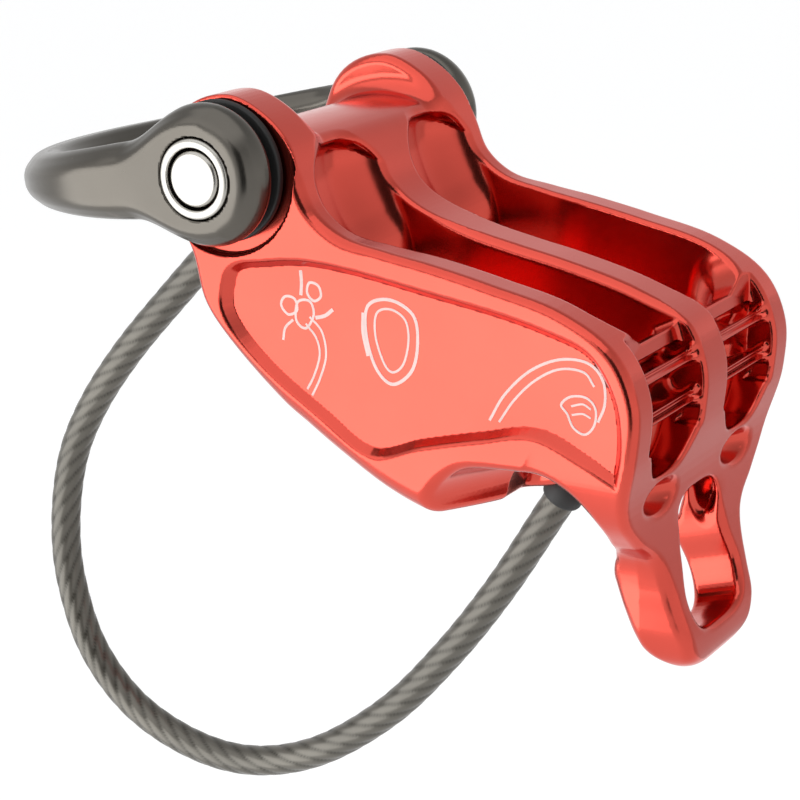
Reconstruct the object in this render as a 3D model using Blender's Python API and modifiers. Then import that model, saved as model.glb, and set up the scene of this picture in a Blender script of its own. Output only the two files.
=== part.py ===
"""Rope descender: a forged two-slot body, a bail pinned to its rear ears, and a wire keeper loop.

Frame: the origin is the middle of the bail's pivot axis. +X points to the toothed front, +Y runs along
the pivot axis, and +Z is up with the device in its hanging attitude. Outlines are in millimetres.
"""

import math

import bmesh
import bpy
from mathutils import Matrix, Vector

MM = 0.001
GAP = 0.3               # clearance left between pieces that touch

# Body, across its width
BODY_HALF = 19.6        # outer face of a side plate
SLOT_OUTER = 15.4       # inner face of a side plate
SLOT_INNER = 2.9        # half the middle plate's thickness
POCKET_DEPTH = 0.9
EAR_FACE = 18.4         # floor of the round seat that the bail's boss turns in
SEAT_RADIUS = 8.9
SADDLE_HALF = 12.6      # half the gap between the ears

# Bail and its pivot
BAIL_HALF = 24.2        # outer face of an arm
BAIL_INNER = 19.9       # inner face of an arm
BOSS_RADIUS = 7.6
ARM_HEIGHT = 8.0
BAIL_BEND = -11.8       # where the straight arms run into the round end
CROSSBAR = 6.0          # thickness of the round end at its middle
BAIL_DROOP = math.radians(9.5)
BAIL_BEVEL = 1.1

# Pivot hardware
SHANK_RADIUS = 2.6
HEAD_RADIUS = 3.0
HEAD_THICK = 0.9
BUSH_RADIUS = 3.6
RING_RADIUS = 4.3
RING_THICK = 0.9
RING_PROUD = 0.2
SHANK_END = 13.8
WASHER_RADIUS = 7.2
WASHER_THICK = 0.9

# Keeper cable
CABLE_RADIUS = 1.85
FERRULE_RADIUS = 1.9
FERRULE_LENGTH = 3.6
COLLAR_RADIUS = 2.35
COLLAR_LENGTH = 2.6
COLLAR_CLEAR = 2.0      # how far outside its bore's mouth a collar begins
BORE_RADIUS = 2.2
BORE_LENGTH = 6.5
REAR_MOUTH = (-5.9, -6.1)
REAR_HEADING = 222.0    # degrees from +X towards +Z, the way the cable leaves the rear bar
FRONT_MOUTH = (32.6, -33.9)
FRONT_HEADING = 239.0
CABLE_STEP = 6.6        # distance between the points of the cable's tube

# Side view of the body (x, z), from the ear round the front to the rear. "c" marks a sharp corner.
BODY_OUTLINE = [
    (0.0, 8.0), (4.4, 6.7), (8.4, 2.7), (12.4, -1.8), (16.4, -4.7), (23.3, -6.2), (32.1, -8.0),
    (40.6, -10.0), (46.3, -13.3), (48.8, -18.2), (48.8, -23.0), (47.6, -30.6), (47.8, -36.7),
    (49.2, -42.8), (50.8, -47.2), (50.6, -50.2), (48.6, -51.2), (46.2, -48.3), (43.9, -43.4),
    (42.4, -38.2), (41.0, -34.2), (38.0, -32.5), (34.2, -33.7), (30.0, -34.4), (25.4, -34.1), (19.4, -32.4),
    (9.4, -27.0), (4.2, -23.2), (0.1, -18.7), (-2.8, -14.2), (-4.2, -9.2), (-7.0, -4.0), (-7.9, 1.0),
    (-5.5, 5.8),
]
# The arch under the side plates between heel and nose
ARCH_OUTLINE = [
    (28.8, -36.0, "c"), (29.9, -31.8), (31.9, -29.2), (35.2, -27.3), (39.0, -27.6), (42.0, -29.6),
    (43.6, -32.8), (42.6, -38.0, "c"), (38.0, -46.0, "c"), (28.8, -42.0, "c"),
]
# One rope slot: open at the top and at the lower rear, with the toothed channel down its front
SLOT_OUTLINE = [
    (7.4, 14.0, "c"), (8.0, 3.8, "c"), (9.2, 1.0), (9.5, -3.2), (10.5, -7.2), (12.4, -10.2), (11.8, -12.8),
    (8.0, -14.0), (2.0, -13.3), (-3.0, -12.0), (-20.0, -11.0, "c"), (-20.0, -46.0, "c"), (18.4, -46.0, "c"),
    (20.4, -36.0), (22.4, -32.0), (27.0, -28.2), (33.4, -24.6), (39.6, -20.8), (42.4, -17.6),
    (43.5, -14.9, "c"), (45.2, -14.2, "c"), (46.0, -15.6, "c"), (47.4, -15.9, "c"), (47.5, -17.3, "c"),
    (46.0, -18.9, "c"), (47.6, -20.5, "c"), (47.7, -21.6, "c"), (45.0, -23.4, "c"), (44.6, -26.8, "c"),
    (47.2, -28.3, "c"), (60.0, -28.6, "c"), (60.0, 14.0, "c"),
]
# What is cut away between the two ears, down to the saddle and the middle plate's top
SADDLE_OUTLINE = [
    (-14.0, 4.7, "c"), (1.5, 4.5), (6.0, 3.4), (9.5, 1.9), (11.8, 0.1), (13.2, -2.4, "c"),
    (18.0, 14.0, "c"), (-14.0, 14.0, "c"),
]
POCKET_OUTLINE = [
    (0.2, -11.6), (5.8, -9.0), (10.8, -8.1), (24.6, -9.5), (39.2, -11.8), (43.8, -13.5), (46.6, -17.6),
    (47.4, -22.0), (47.0, -27.4, "c"), (43.0, -25.2), (37.8, -23.3), (31.4, -24.7), (24.6, -26.6),
    (18.2, -28.6), (12.0, -25.4), (3.0, -19.3), (-0.2, -15.0),
]
# Front view (y, z): what the taper to the nose takes off the +Y side, and the nose eye
TAPER_OUTLINE = [
    (21.5, -20.0, "c"), (19.6, -26.0), (17.8, -31.2), (14.4, -34.7), (11.2, -37.2), (9.6, -40.2),
    (9.0, -44.0), (8.6, -47.6), (5.8, -50.6), (0.0, -51.8, "c"), (0.0, -60.0, "c"), (30.0, -60.0, "c"),
    (30.0, -20.0, "c"),
]
EYE_OUTLINE = [
    (0.0, -32.2), (2.9, -33.4), (4.5, -36.6), (5.6, -40.6), (5.7, -43.6), (3.9, -46.2), (0.0, -47.0),
    (-3.9, -46.2), (-5.7, -43.6), (-5.6, -40.6), (-4.5, -36.6), (-2.9, -33.4),
]
TAPER_START = 33.0
EYE_START = 34.0
FRONT_LIMIT = 62.0

# Centre line of the keeper cable (x, z) in the middle plane, from the rear bar to the heel
CABLE_ROUTE = [
    (-13.4, -12.8), (-21.0, -20.7), (-28.2, -28.7), (-33.9, -36.5), (-37.5, -44.0), (-39.1, -52.8),
    (-38.6, -60.8), (-35.5, -69.3), (-29.2, -75.7), (-20.3, -79.0), (-11.0, -79.0), (-1.1, -75.2),
    (8.9, -67.5), (17.0, -58.2), (23.6, -48.9), (29.2, -39.6),
]


def clear_scene():
    for obj in list(bpy.data.objects):
        bpy.data.objects.remove(obj, do_unlink=True)


def new_collection(name):
    collection = bpy.data.collections.new(name)
    bpy.context.scene.collection.children.link(collection)
    return collection


def paint(name, color, roughness, metallic):
    material = bpy.data.materials.new(name)
    material.use_nodes = True
    shader = material.node_tree.nodes["Principled BSDF"]
    shader.inputs["Base Color"].default_value = (*color, 1.0)
    shader.inputs["Roughness"].default_value = roughness
    shader.inputs["Metallic"].default_value = metallic
    return material


def add_piece(name, mesh, collection, matrix=None):
    obj = bpy.data.objects.new(name, mesh)
    if matrix is not None:
        obj.matrix_world = matrix
    collection.objects.link(obj)
    return obj


def curve_to_mesh(obj, collection):
    """Replaces a curve object by the closed mesh it draws."""
    bpy.context.view_layer.update()
    evaluated = obj.evaluated_get(bpy.context.evaluated_depsgraph_get())
    mesh = bpy.data.meshes.new_from_object(evaluated)
    matrix = obj.matrix_world.copy()
    name = obj.name
    curve = obj.data
    bpy.data.objects.remove(obj, do_unlink=True)
    bpy.data.curves.remove(curve)
    shape = bmesh.new()
    shape.from_mesh(mesh)
    bmesh.ops.remove_doubles(shape, verts=shape.verts, dist=0.01 * MM)
    bmesh.ops.dissolve_limit(shape, angle_limit=math.radians(0.5), verts=shape.verts, edges=shape.edges)
    bmesh.ops.recalc_face_normals(shape, faces=shape.faces)
    shape.to_mesh(mesh)
    shape.free()
    return add_piece(name, mesh, collection, matrix)


def prism(name, outline, low, high, collection, plane="XZ", steps=3):
    """Extrudes a flat outline: a side view along Y, or a front view (y, z) along X."""
    curve = bpy.data.curves.new(name, "CURVE")
    curve.dimensions = "2D"
    curve.fill_mode = "BOTH"
    curve.extrude = (high - low) / 2 * MM
    curve.resolution_u = steps
    spline = curve.splines.new("BEZIER")
    spline.bezier_points.add(len(outline) - 1)
    spline.use_cyclic_u = True
    for point, corner in zip(spline.bezier_points, outline):
        kind = "VECTOR" if len(corner) == 3 else "AUTO"
        point.co = (corner[0] * MM, corner[1] * MM, 0.0)
        point.handle_left_type = kind
        point.handle_right_type = kind
    middle = (low + high) / 2 * MM
    if plane == "XZ":
        turn = Matrix(((1, 0, 0), (0, 0, -1), (0, 1, 0)))
        place = Matrix.Translation((0, middle, 0)) @ turn.to_4x4()
    else:
        turn = Matrix(((0, 0, 1), (1, 0, 0), (0, 1, 0)))
        place = Matrix.Translation((middle, 0, 0)) @ turn.to_4x4()
    obj = bpy.data.objects.new(name, curve)
    obj.matrix_world = place
    collection.objects.link(obj)
    return curve_to_mesh(obj, collection)


def polygon_prism(name, outline, half_height, collection, matrix):
    """Extrudes a straight-sided plan (x, y) by half_height to each side of its own plane."""
    curve = bpy.data.curves.new(name, "CURVE")
    curve.dimensions = "2D"
    curve.fill_mode = "BOTH"
    curve.extrude = half_height * MM
    spline = curve.splines.new("POLY")
    spline.points.add(len(outline) - 1)
    spline.use_cyclic_u = True
    for point, corner in zip(spline.points, outline):
        point.co = (corner[0] * MM, corner[1] * MM, 0.0, 1.0)
    obj = bpy.data.objects.new(name, curve)
    obj.matrix_world = matrix
    collection.objects.link(obj)
    return curve_to_mesh(obj, collection)


def cylinder(name, radius, start, end, collection, segments=48):
    """A solid cylinder between two points, in millimetres."""
    start = Vector(start) * MM
    end = Vector(end) * MM
    shape = bmesh.new()
    bmesh.ops.create_cone(
        shape, cap_ends=True, segments=segments, radius1=radius * MM, radius2=radius * MM,
        depth=(end - start).length,
    )
    mesh = bpy.data.meshes.new(name)
    shape.to_mesh(mesh)
    shape.free()
    turn = (end - start).to_track_quat("Z", "Y").to_matrix().to_4x4()
    return add_piece(name, mesh, collection, Matrix.Translation((start + end) / 2) @ turn)


def turned(name, profile, collection, matrix, steps=48):
    """Spins a closed profile (radius, height), outer side first and downwards, about its own Z."""
    mesh = bpy.data.meshes.new(name)
    points = [(r * MM, 0.0, z * MM) for r, z in profile]
    edges = [(i, (i + 1) % len(points)) for i in range(len(points))]
    mesh.from_pydata(points, edges, [])
    obj = add_piece(name, mesh, collection, matrix)
    screw = obj.modifiers.new("turn", "SCREW")
    screw.steps = steps
    screw.render_steps = steps
    screw.use_merge_vertices = True
    screw.merge_threshold = 0.00001
    screw.use_smooth_shade = False
    return obj


def combine(target, other, operation):
    modifier = target.modifiers.new(other.name, "BOOLEAN")
    modifier.operation = operation
    modifier.object = other
    modifier.solver = "EXACT"


def hide_cutters(cutters):
    for obj in cutters.objects:
        obj.hide_render = True
        obj.display_type = "WIRE"


def bevel(obj, width, segments=2, angle=50.0):
    modifier = obj.modifiers.new("edges", "BEVEL")
    modifier.width = width * MM
    modifier.segments = segments
    modifier.limit_method = "ANGLE"
    modifier.angle_limit = math.radians(angle)


def smooth(obj, angle=35.0):
    obj.data.shade_smooth()
    obj.data.set_sharp_from_angle(angle=math.radians(angle))


def heading(degrees):
    return Vector((math.cos(math.radians(degrees)), 0.0, math.sin(math.radians(degrees))))


def mouth(point):
    return Vector((point[0], 0.0, point[1]))


def make_body(parts, cutters):
    body = prism("body", BODY_OUTLINE, -BODY_HALF, BODY_HALF, parts)
    bevel(body, 0.9)
    for side, word in ((-1, "near"), (1, "far")):
        spans = {
            "slot": (SLOT_OUTLINE, SLOT_INNER, SLOT_OUTER),
            "arch": (ARCH_OUTLINE, SLOT_INNER + 0.8, BODY_HALF + 3),
            "pocket": (POCKET_OUTLINE, BODY_HALF - POCKET_DEPTH, BODY_HALF + 3),
        }
        for label, (outline, low, high) in spans.items():
            ends = sorted((side * low, side * high))
            combine(body, prism(f"{word}_{label}_cut", outline, *ends, cutters), "DIFFERENCE")
        seat = cylinder(f"{word}_seat_cut", SEAT_RADIUS, (0, side * EAR_FACE, 0), (0, side * 26, 0), cutters)
        bore = cylinder(f"{word}_rivet_cut", SHANK_RADIUS + GAP, (0, side * (SHANK_END - GAP), 0),
                        (0, side * 26, 0), cutters, 32)
        taper = [(side * point[0], *point[1:]) for point in TAPER_OUTLINE]
        nose = prism(f"{word}_taper_cut", taper, TAPER_START, FRONT_LIMIT, cutters, "YZ")
        for cutter in (seat, bore, nose):
            combine(body, cutter, "DIFFERENCE")
    saddle = prism("saddle_cut", SADDLE_OUTLINE, -SADDLE_HALF, SADDLE_HALF, cutters)
    eye = prism("eye_cut", EYE_OUTLINE, EYE_START, FRONT_LIMIT, cutters, "YZ")
    combine(body, saddle, "DIFFERENCE")
    combine(body, eye, "DIFFERENCE")
    for word, place, way in (("rear", REAR_MOUTH, REAR_HEADING), ("front", FRONT_MOUTH, FRONT_HEADING)):
        inner = mouth(place) - heading(way) * BORE_LENGTH
        outer = mouth(place) + heading(way) * BORE_LENGTH
        combine(body, cylinder(f"{word}_cable_cut", BORE_RADIUS, inner, outer, cutters, 24), "DIFFERENCE")
    return body


def bail_plan():
    """Plan of the link: two straight arms and a round end, outer edge first."""
    turns = [math.pi / 2 + math.pi * step / 24 for step in range(25)]
    outer = [(BAIL_BEND + BAIL_HALF * math.cos(t), BAIL_HALF * math.sin(t)) for t in turns]
    depth = BAIL_HALF - CROSSBAR
    inner = [(BAIL_BEND + depth * math.cos(t), BAIL_INNER * math.sin(t)) for t in turns]
    return [(0, BAIL_HALF), *outer, (0, -BAIL_HALF), (0, -BAIL_INNER), *reversed(inner), (0, BAIL_INNER)]


def make_bail(parts, cutters):
    droop = Matrix.Rotation(-BAIL_DROOP, 4, "Y")
    bail = polygon_prism("pivot_bail", bail_plan(), ARM_HEIGHT / 2, parts, droop)
    bevel(bail, BAIL_BEVEL)
    for side, word in ((-1, "near"), (1, "far")):
        boss = cylinder(f"{word}_boss", BOSS_RADIUS, (0, side * BAIL_INNER, 0), (0, side * BAIL_HALF, 0), cutters)
        bevel(boss, 0.8)
        bore = cylinder(f"{word}_bush_cut", BUSH_RADIUS + GAP, (0, side * (BAIL_INNER - 2), 0),
                        (0, side * 30, 0), cutters)
        ring_floor = BAIL_HALF + RING_PROUD - RING_THICK - GAP
        ring = cylinder(f"{word}_ring_cut", RING_RADIUS + GAP, (0, side * ring_floor, 0), (0, side * 30, 0), cutters)
        combine(bail, boss, "UNION")
        combine(bail, bore, "DIFFERENCE")
        combine(bail, ring, "DIFFERENCE")
    return bail


def make_pivot(side, word, parts):
    """The rivet, the flanged bush round it and the washer behind the boss, along +Y or -Y."""
    axis = Matrix.Rotation(math.radians(-90 * side), 4, "X")
    top = BAIL_HALF + RING_PROUD
    under_head = top - HEAD_THICK
    rivet = turned(f"{word}_pivot_rivet", [
        (0, top), (HEAD_RADIUS - 0.3, top), (HEAD_RADIUS, top - 0.3), (HEAD_RADIUS, under_head),
        (SHANK_RADIUS, under_head), (SHANK_RADIUS, SHANK_END), (0, SHANK_END),
    ], parts, axis)
    bore = HEAD_RADIUS + GAP
    bush = turned(f"{word}_flanged_bush", [
        (bore, top), (RING_RADIUS - 0.35, top), (RING_RADIUS, top - 0.35), (RING_RADIUS, top - RING_THICK),
        (BUSH_RADIUS, top - RING_THICK), (BUSH_RADIUS, BAIL_INNER), (bore, BAIL_INNER),
    ], parts, axis)
    base = EAR_FACE + GAP
    washer = turned(f"{word}_thrust_washer", [
        (WASHER_RADIUS, base + WASHER_THICK), (WASHER_RADIUS, base), (bore, base), (bore, base + WASHER_THICK),
    ], parts, axis)
    return rivet, bush, washer


def cable_points():
    """Even steps along a smooth curve through the route and a little way into both bores."""
    seat = BORE_LENGTH - FERRULE_LENGTH - 2 * GAP
    start = mouth(REAR_MOUTH) - heading(REAR_HEADING) * seat
    end = mouth(FRONT_MOUTH) - heading(FRONT_HEADING) * seat
    lead_in = mouth(REAR_MOUTH) + heading(REAR_HEADING) * 1.5
    lead_out = mouth(FRONT_MOUTH) + heading(FRONT_HEADING) * 1.5
    knots = [start, lead_in, *[mouth(p) for p in CABLE_ROUTE], lead_out, end]
    dense = []
    padded = [2 * knots[0] - knots[1], *knots, 2 * knots[-1] - knots[-2]]
    for a, b, c, d in zip(padded, padded[1:], padded[2:], padded[3:]):
        for step in range(24):
            t = step / 24
            dense.append(0.5 * (2 * b + (c - a) * t + (2 * a - 5 * b + 4 * c - d) * t ** 2
                                + (3 * b - a - 3 * c + d) * t ** 3))
    dense.append(knots[-1])
    lengths = [0.0]
    for a, b in zip(dense, dense[1:]):
        lengths.append(lengths[-1] + (b - a).length)
    count = round(lengths[-1] / CABLE_STEP)
    points = []
    for i in range(count + 1):
        target = lengths[-1] * i / count
        k = min(max(j for j, length in enumerate(lengths) if length <= target + 1e-9), len(dense) - 2)
        share = (target - lengths[k]) / (lengths[k + 1] - lengths[k])
        points.append(dense[k].lerp(dense[k + 1], share))
    return points


def make_cable(parts):
    points = cable_points()
    curve = bpy.data.curves.new("keeper_cable", "CURVE")
    curve.dimensions = "3D"
    curve.bevel_depth = CABLE_RADIUS * MM
    curve.bevel_resolution = 2
    curve.use_fill_caps = True
    spline = curve.splines.new("POLY")
    spline.points.add(len(points) - 1)
    for point, place in zip(spline.points, points):
        point.co = (*(place * MM), 1.0)
    cable = bpy.data.objects.new("keeper_cable", curve)
    parts.objects.link(cable)
    cable = curve_to_mesh(cable, parts)
    pieces = [cable]
    for word, place, way in (("rear", REAR_MOUTH, REAR_HEADING), ("front", FRONT_MOUTH, FRONT_HEADING)):
        out = heading(way)
        inner = mouth(place) - out * (BORE_LENGTH - GAP)
        pieces.append(cylinder(f"{word}_cable_ferrule", FERRULE_RADIUS, inner, inner + out * FERRULE_LENGTH,
                               parts, 24))
        turn = out.to_track_quat("Z", "Y").to_matrix().to_4x4()
        base = Matrix.Translation(mouth(place) * MM) @ turn
        low = COLLAR_CLEAR
        high = low + COLLAR_LENGTH
        bore = CABLE_RADIUS + GAP
        pieces.append(turned(f"{word}_cable_collar", [
            (bore, high), (COLLAR_RADIUS - 0.2, high), (COLLAR_RADIUS, high - 0.3), (COLLAR_RADIUS, low),
            (bore, low),
        ], parts, base, 24))
    return pieces


def main():
    clear_scene()
    parts = new_collection("rope_descender")
    cutters = new_collection("cutters")
    red = paint("red_anodised", (0.62, 0.05, 0.04), 0.3, 0.9)
    grey = paint("grey_anodised", (0.16, 0.15, 0.14), 0.35, 0.9)
    steel = paint("polished_steel", (0.8, 0.79, 0.76), 0.22, 1.0)
    plastic = paint("black_plastic", (0.02, 0.02, 0.02), 0.5, 0.0)
    wire = paint("sheathed_wire", (0.22, 0.21, 0.18), 0.4, 0.6)
    alloy = paint("crimp_alloy", (0.5, 0.5, 0.5), 0.4, 1.0)

    body = make_body(parts, cutters)
    body.data.materials.append(red)
    bail = make_bail(parts, cutters)
    bail.data.materials.append(grey)
    for side, word in ((-1, "near"), (1, "far")):
        for piece, material in zip(make_pivot(side, word, parts), (steel, steel, plastic)):
            piece.data.materials.append(material)
    finishes = (wire, alloy, plastic, alloy, plastic)
    for piece, material in zip(make_cable(parts), finishes):
        piece.data.materials.append(material)
    hide_cutters(cutters)
    for piece in parts.objects:
        smooth(piece)


main()
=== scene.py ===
"""Looks of the rope descender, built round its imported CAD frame.

Frame: the origin is the middle of the bail's pivot axis, +X points to the toothed front, +Y runs along
the pivot axis and +Z is up. Shapes are worked out in millimetres and written into meshes in metres.
The forged pieces are solids described by distance fields, which round every edge and fillet every corner.
"""

import math

import bmesh
import bpy
import numpy as np
from mathutils import Matrix, Vector


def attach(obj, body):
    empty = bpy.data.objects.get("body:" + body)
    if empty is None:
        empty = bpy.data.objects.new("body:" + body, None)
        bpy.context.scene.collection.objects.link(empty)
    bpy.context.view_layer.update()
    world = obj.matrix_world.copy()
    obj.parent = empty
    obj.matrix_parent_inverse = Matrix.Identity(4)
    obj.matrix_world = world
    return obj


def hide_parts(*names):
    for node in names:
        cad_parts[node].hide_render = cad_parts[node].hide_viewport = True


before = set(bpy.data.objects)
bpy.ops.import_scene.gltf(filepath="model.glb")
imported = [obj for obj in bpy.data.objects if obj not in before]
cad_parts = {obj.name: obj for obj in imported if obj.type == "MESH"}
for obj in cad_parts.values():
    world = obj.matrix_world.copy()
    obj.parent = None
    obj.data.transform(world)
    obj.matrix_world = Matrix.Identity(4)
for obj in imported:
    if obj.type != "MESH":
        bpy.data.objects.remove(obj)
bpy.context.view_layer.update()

MM = 0.001
CELL = 0.28     # grid of the forged pieces' meshes
BODY_FACES = 180000                     # triangles that a forged piece is thinned down to
BAIL_FACES = 90000
RELAX_ROUNDS = 2

# Camera, in millimetres and degrees
CAMERA_PLACE = (141.2, -216.9, 50.5)
CAMERA_AZIMUTH = 31.1
CAMERA_ELEVATION = 17.36
CAMERA_LENS = 105.4
CAMERA_SENSOR = 36.0
CAMERA_NEAR = 0.01                      # metres

# Stage: a faintly glowing floor far below, and a world that is white below and greyer above
FLOOR_LEVEL = -420.0
FLOOR_HALF = 6.0                        # metres
FLOOR_GREY = 0.5
FLOOR_GLOW = 0.62
WORLD_STRENGTH = 1.06
SKY_LOW = (1.0, 1.0, 1.0)
SKY_HIGH = (0.5, 0.51, 0.52)
SKY_HIGH_AT = 0.9
CARD_AIM = (0.0, 0.0, -0.02)            # metres
CARDS = [                               # name, size in metres, azimuth, elevation, distance, colour, watts
    ("side_softbox", (0.6, 0.55), -38, -14, 0.5, (1, 1, 1), 2.3),
    ("key_softbox", (1.4, 1.4), -20, 65, 0.9, (1, 1, 1), 5),
    ("dark_flag", (0.4, 0.7), 26, 8, 0.7, (0.01, 0.01, 0.01), 0),
    ("grey_flag", (0.8, 0.5), 148, -14, 0.6, (0.6, 0.6, 0.6), 0),
]

# Finishes
CLOUD_SCALE = 55.0
GRAIN_SCALE = 600.0
GRAIN_HEIGHT = 0.1
COAT_ROUGHNESS = 0.12
# Painted highlight: a pale pink mixed onto the sharp convex edges in place of the light that the rims catch
EDGE_GLINT_RANGE = (0.62, 0.85)                # pointiness where the painted edge highlight begins and where it is full
EDGE_GLINT_COLOR = (0.75, 0.62, 0.6)

# Body, across its width
BODY_HALF = 19.6
SLOT_OUTER = 15.4
SLOT_INNER = 2.9
POCKET_FLOOR = 18.4
EAR_FACE = 18.4
SEAT_RADIUS = 9.0
SEAT_EDGE = 0.4
SADDLE_HALF = 12.6
WEB_HALF = 3.7                          # of the heel's web, which holds the front cable bore
RIVET_BORE = 2.9
RIVET_DEPTH = 13.5
NOSE_BREAK = 45.4                       # x of the nose's widest line, seen from above
NOSE_FACE = 43.6                        # x where the channel under the teeth begins
EYE_FACE = 40.8                         # x where the nose eye begins
EYE_PIVOT = 48.5
EYE_SLANT = math.tan(math.radians(18))
EYE_VAULT = ((45.9, 0.0, -34.8), (1.6, 7.4, 3.5))       # centre and radii
NOSE_HOLLOW = ((49.6, 9.6, -30.6), (4.4, 4.2, 2.1))

# Bail and its pivot
BAIL_HALF = 24.2
BAIL_INNER = 19.9
BOSS_RADIUS = 7.6
ARM_HEIGHT = 8.0
BAIL_BEND = -11.8
CROSSBAR = 6.0
BAIL_DROOP = math.radians(9.5)
CHAMFER = 0.7071                        # cosine of 45 degrees
SHANK_RADIUS = 2.6
HEAD_RADIUS = 3.0
HEAD_THICK = 0.9
BUSH_RADIUS = 3.6
RING_RADIUS = 4.3
RING_THICK = 0.9
RING_PROUD = 0.2
SHANK_END = 13.8
WASHER_RADIUS = 7.6
WASHER_THICK = 0.9
GAP = 0.3

# Keeper cable
CABLE_RADIUS = 1.85
CABLE_SIDES = 56
CABLE_ROW = 0.4                         # distance between the rings of the cable's mesh
CABLE_LEAD = 1.5                        # straight stretch outside each bore
STRANDS = 7
LAY_LENGTH = 19.0
GROOVE_DEPTH = 0.13
FERRULE_RADIUS = 1.9
FERRULE_LENGTH = 3.6
COLLAR_RADIUS = 2.35
COLLAR_LENGTH = 2.6
COLLAR_CLEAR = 0.5
END_STEPS = 48
BORE_RADIUS = 2.2
BORE_LENGTH = 6.5
REAR_MOUTH = (-5.9, -6.1)
REAR_HEADING = 222.0                    # degrees from +X towards +Z, the way the cable leaves
FRONT_MOUTH = (32.6, -33.9)
FRONT_HEADING = 239.0
CABLE_ROUTE = [                         # centre line (x, z) in the middle plane
    (-13.4, -12.8), (-21.0, -20.7), (-28.2, -28.7), (-33.9, -36.5), (-37.5, -44.0), (-39.1, -52.8),
    (-38.6, -60.8), (-35.5, -69.3), (-29.2, -75.7), (-20.3, -79.0), (-11.0, -79.0), (-1.1, -75.2),
    (8.9, -67.5), (17.0, -58.2), (23.6, -48.9), (29.2, -39.6),
]

# Low and high corners of what the outlines' tables cover
SIDE_WINDOW = ((-12.0, -55.0), (55.0, 12.0))
FRONT_WINDOW = ((-2.0, -56.0), (24.0, 12.0))

# Side views (x, z) of the body. "c" marks a sharp corner.
BODY_OUTLINE = [
    (0.0, 8.0), (4.5, 6.6), (7.9, 3.7), (9.6, 0.2), (11.1, -2.9), (14.3, -5.2), (19.5, -6.2),
    (25.0, -6.9), (32.1, -8.1), (40.6, -10.0), (46.3, -13.3), (48.8, -18.2), (48.8, -23.5),
    (47.4, -30.6), (48.0, -36.7), (49.7, -42.8), (50.9, -47.0), (50.6, -50.0), (48.7, -51.2),
    (46.1, -49.6), (43.8, -45.2), (41.9, -40.0), (41.2, -36.8), (41.6, -35.2, "c"), (40.4, -33.7),
    (38.0, -32.5), (34.2, -33.3), (30.0, -34.6), (25.4, -34.3), (19.4, -32.4), (9.4, -27.0),
    (4.2, -23.2), (0.1, -18.7), (-2.8, -14.2), (-4.2, -9.2), (-7.0, -4.0), (-7.9, 1.0), (-5.5, 5.8),
]
ARCH_OUTLINE = [
    (28.8, -36.0, "c"), (29.6, -31.8), (31.6, -29.2), (35.2, -27.3), (39.0, -27.6), (42.0, -29.6),
    (43.6, -32.8), (42.6, -38.0, "c"), (38.0, -46.0, "c"), (28.8, -42.0, "c"),
]
SLOT_OUTLINE = [
    (7.7, 14.0, "c"), (7.7, 2.2, "c"), (6.2, 1.4), (6.0, 0.0), (6.9, -3.4), (8.6, -6.8), (10.8, -9.8),
    (11.2, -12.4), (8.0, -14.2), (2.0, -13.3), (-3.0, -12.0), (-20.0, -11.0, "c"), (-20.0, -46.0, "c"),
    (18.4, -46.0, "c"), (20.4, -36.0), (22.4, -32.0), (27.0, -28.2), (33.4, -24.6), (39.6, -20.8),
    (42.6, -17.6), (43.2, -15.2, "c"), (45.3, -14.1, "c"), (45.8, -15.6, "c"), (44.2, -16.0),
    (43.9, -17.0), (45.4, -17.5), (47.4, -16.0, "c"), (46.8, -17.0, "c"), (47.8, -17.3, "c"),
    (45.4, -18.6), (44.6, -20.0), (45.8, -21.4), (47.8, -20.4, "c"), (47.1, -21.4, "c"),
    (48.1, -21.7, "c"), (46.2, -22.9), (45.8, -24.4, "c"), (60.0, -24.4, "c"), (60.0, 14.0, "c"),
]
SADDLE_OUTLINE = [
    (-14.0, -2.4, "c"), (-7.0, 0.6), (-3.0, 2.8), (0.5, 3.7), (3.5, 3.8), (6.0, 3.4), (8.2, 2.4),
    (10.4, 0.3), (12.6, -2.2), (14.6, -4.2), (17.0, -5.8), (20.5, -7.0), (26.0, -8.1), (32.0, -9.1),
    (38.8, -10.6), (43.0, -11.9), (47.5, -13.2), (52.0, -14.0, "c"), (54.0, 14.0, "c"),
    (-14.0, 14.0, "c"),
]
POCKET_OUTLINE = [
    (-0.1, -12.4), (0.8, -10.2), (5.2, -8.9), (10.8, -8.2), (24.6, -9.5), (39.2, -11.8), (43.8, -13.5),
    (46.6, -17.6), (47.4, -22.0), (47.0, -27.4, "c"), (43.0, -25.2), (37.8, -23.3), (31.4, -24.7),
    (24.6, -26.6), (18.2, -28.6), (12.0, -25.4), (3.0, -19.3), (-0.2, -15.0),
]
# Front views (half width, z)
FRONT_OUTLINE = [
    (19.6, 20.0, "c"), (19.6, -24.0), (19.0, -28.0), (17.4, -31.6), (14.4, -34.7), (11.2, -37.4),
    (10.3, -40.4), (10.0, -43.8), (9.6, -46.6), (8.2, -49.4), (5.0, -51.2), (0.0, -51.9, "c"),
    (-6.0, -51.6, "c"), (-6.0, 20.0, "c"),
]
CHANNEL_OUTLINE = [
    (2.9, -22.6, "c"), (3.1, -23.6), (3.9, -25.0), (6.2, -27.4), (9.4, -28.0), (12.4, -27.4),
    (14.4, -24.8), (15.2, -23.6), (15.4, -22.6, "c"),
]
EYE_OUTLINE = [
    (0.0, -32.1), (3.9, -32.7), (4.8, -35.2), (5.5, -39.0), (6.3, -43.0), (5.0, -46.2), (0.0, -47.2),
    (-5.0, -46.2), (-6.3, -43.0), (-5.5, -39.0), (-4.8, -35.2), (-3.9, -32.7),
]

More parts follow.
